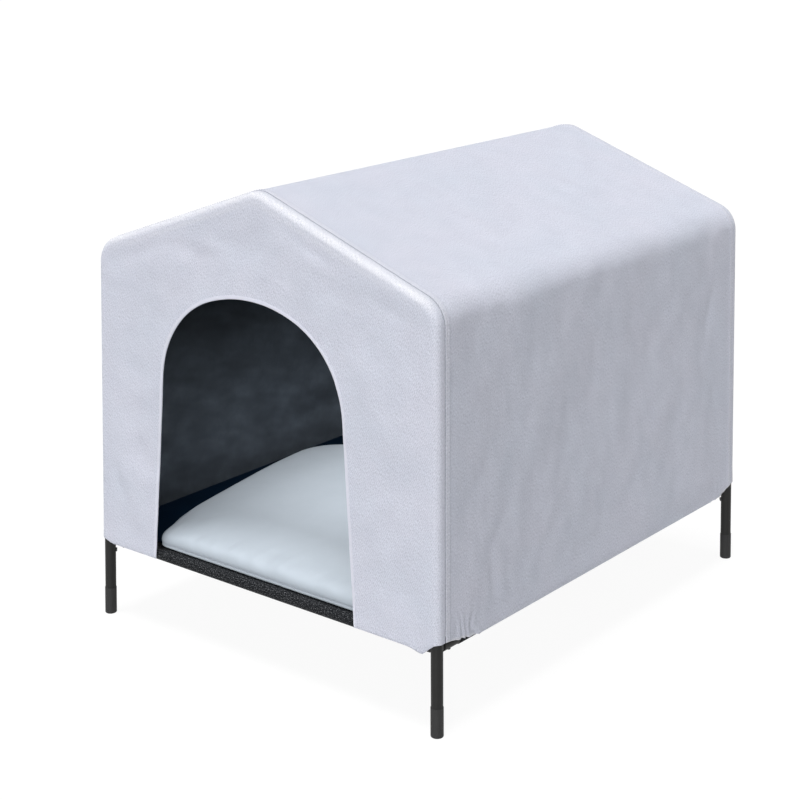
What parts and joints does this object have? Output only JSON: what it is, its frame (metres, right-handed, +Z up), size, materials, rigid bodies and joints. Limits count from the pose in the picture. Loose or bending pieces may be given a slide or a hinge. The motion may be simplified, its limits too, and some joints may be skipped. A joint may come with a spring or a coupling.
{
  "type": "elevated dog bed with canopy",
  "caption": "Raised pet bed on a steel tube frame with a gable-roofed cloth cover, arched doorway, padded floor and a loose cushion.",
  "frame": {"origin": "on the floor under the middle of the frame", "axes": "+Z up, +Y towards the closed rear, the doorway faces -Y, +X to the right seen from the front"},
  "size_m": [0.71, 0.869, 0.75],
  "materials": {
    "frame_steel": "charcoal powder coat, satin",
    "foot_plastic": "moulded, matte",
    "joint_plastic": "moulded nylon, matte",
    "screw_steel": "black zinc",
    "button_steel": "plain steel",
    "spring_steel": "spring steel",
    "sling_cloth": "coarse black weave",
    "mat_cloth": "smooth dark coated cloth",
    "cover_cloth": "pale grey twill, dark coated inside",
    "binding_cloth": "folded tape of the cover's cloth",
    "cushion_cloth": "smooth pale blue-grey cloth",
    "cushion_filling": "fibre filling"
  },
  "bodies": {
    "frame": {"leg_front_left": "frame_steel", "foot_cap_front_left": "foot_plastic", "corner_bracket_front_left": "frame_steel", "post_front_left": "frame_steel", "bow_front_left": "frame_steel", "button_spring_front_left": "spring_steel", "leg_front_right": "frame_steel", "foot_cap_front_right": "foot_plastic", "corner_bracket_front_right": "frame_steel", "post_front_right": "frame_steel", "bow_front_right": "frame_steel", "button_spring_front_right": "spring_steel", "leg_rear_left": "frame_steel", "foot_cap_rear_left": "foot_plastic", "corner_bracket_rear_left": "frame_steel", "post_rear_left": "frame_steel", "bow_rear_left": "frame_steel", "button_spring_rear_left": "spring_steel", "leg_rear_right": "frame_steel", "foot_cap_rear_right": "foot_plastic", "corner_bracket_rear_right": "frame_steel", "post_rear_right": "frame_steel", "bow_rear_right": "frame_steel", "button_spring_rear_right": "spring_steel", "front_rail": "frame_steel", "rear_rail": "frame_steel", "left_rail": "frame_steel", "right_rail": "frame_steel", "front_apex_joint": "joint_plastic", "rear_apex_joint": "joint_plastic", "ridge_pole": "frame_steel", "frame_screws": "screw_steel", "bed_sling": "sling_cloth", "floor_mat": "mat_cloth"},
    "cover": {"cover_front_panel": "cover_cloth", "cover_side_and_roof_panel": "cover_cloth", "cover_rear_panel": "cover_cloth", "doorway_binding": "binding_cloth"},
    "cushion": {"cushion_case": "cushion_cloth", "cushion_core": "cushion_filling"},
    "post_button_front_left": {"post_button_front_left": "button_steel"},
    "post_button_front_right": {"post_button_front_right": "button_steel"},
    "post_button_rear_left": {"post_button_rear_left": "button_steel"},
    "post_button_rear_right": {"post_button_rear_right": "button_steel"}
  },
  "joints": [
    {"name": "cover_lift", "type": "slide", "parent": "frame", "child": "cover", "axis": [0, 0, 1], "range_m": [0, 0.65]},
    {"name": "cushion_lift", "type": "slide", "parent": "frame", "child": "cushion", "axis": [0, 0, 1], "range_m": [0, 0.3]},
    {"name": "button_press_front_left", "type": "slide", "parent": "frame", "child": "post_button_front_left", "axis": [-0.7064, -0.7064, 0.0434], "range_m": [0, 0.0029], "stiffness_N_per_m": 600, "springref_m": -0.002, "deforming": ["button_spring_front_left"]},
    {"name": "button_press_front_right", "type": "slide", "parent": "frame", "child": "post_button_front_right", "axis": [0.7064, -0.7064, 0.0434], "range_m": [0, 0.0029], "stiffness_N_per_m": 600, "springref_m": -0.002, "deforming": ["button_spring_front_right"]},
    {"name": "button_press_rear_left", "type": "slide", "parent": "frame", "child": "post_button_rear_left", "axis": [-0.7064, 0.7064, 0.0434], "range_m": [0, 0.0029], "stiffness_N_per_m": 600, "springref_m": -0.002, "deforming": ["button_spring_rear_left"]},
    {"name": "button_press_rear_right", "type": "slide", "parent": "frame", "child": "post_button_rear_right", "axis": [0.7064, 0.7064, 0.0434], "range_m": [0, 0.0029], "stiffness_N_per_m": 600, "springref_m": -0.002, "deforming": ["button_spring_rear_right"]}
  ]
}
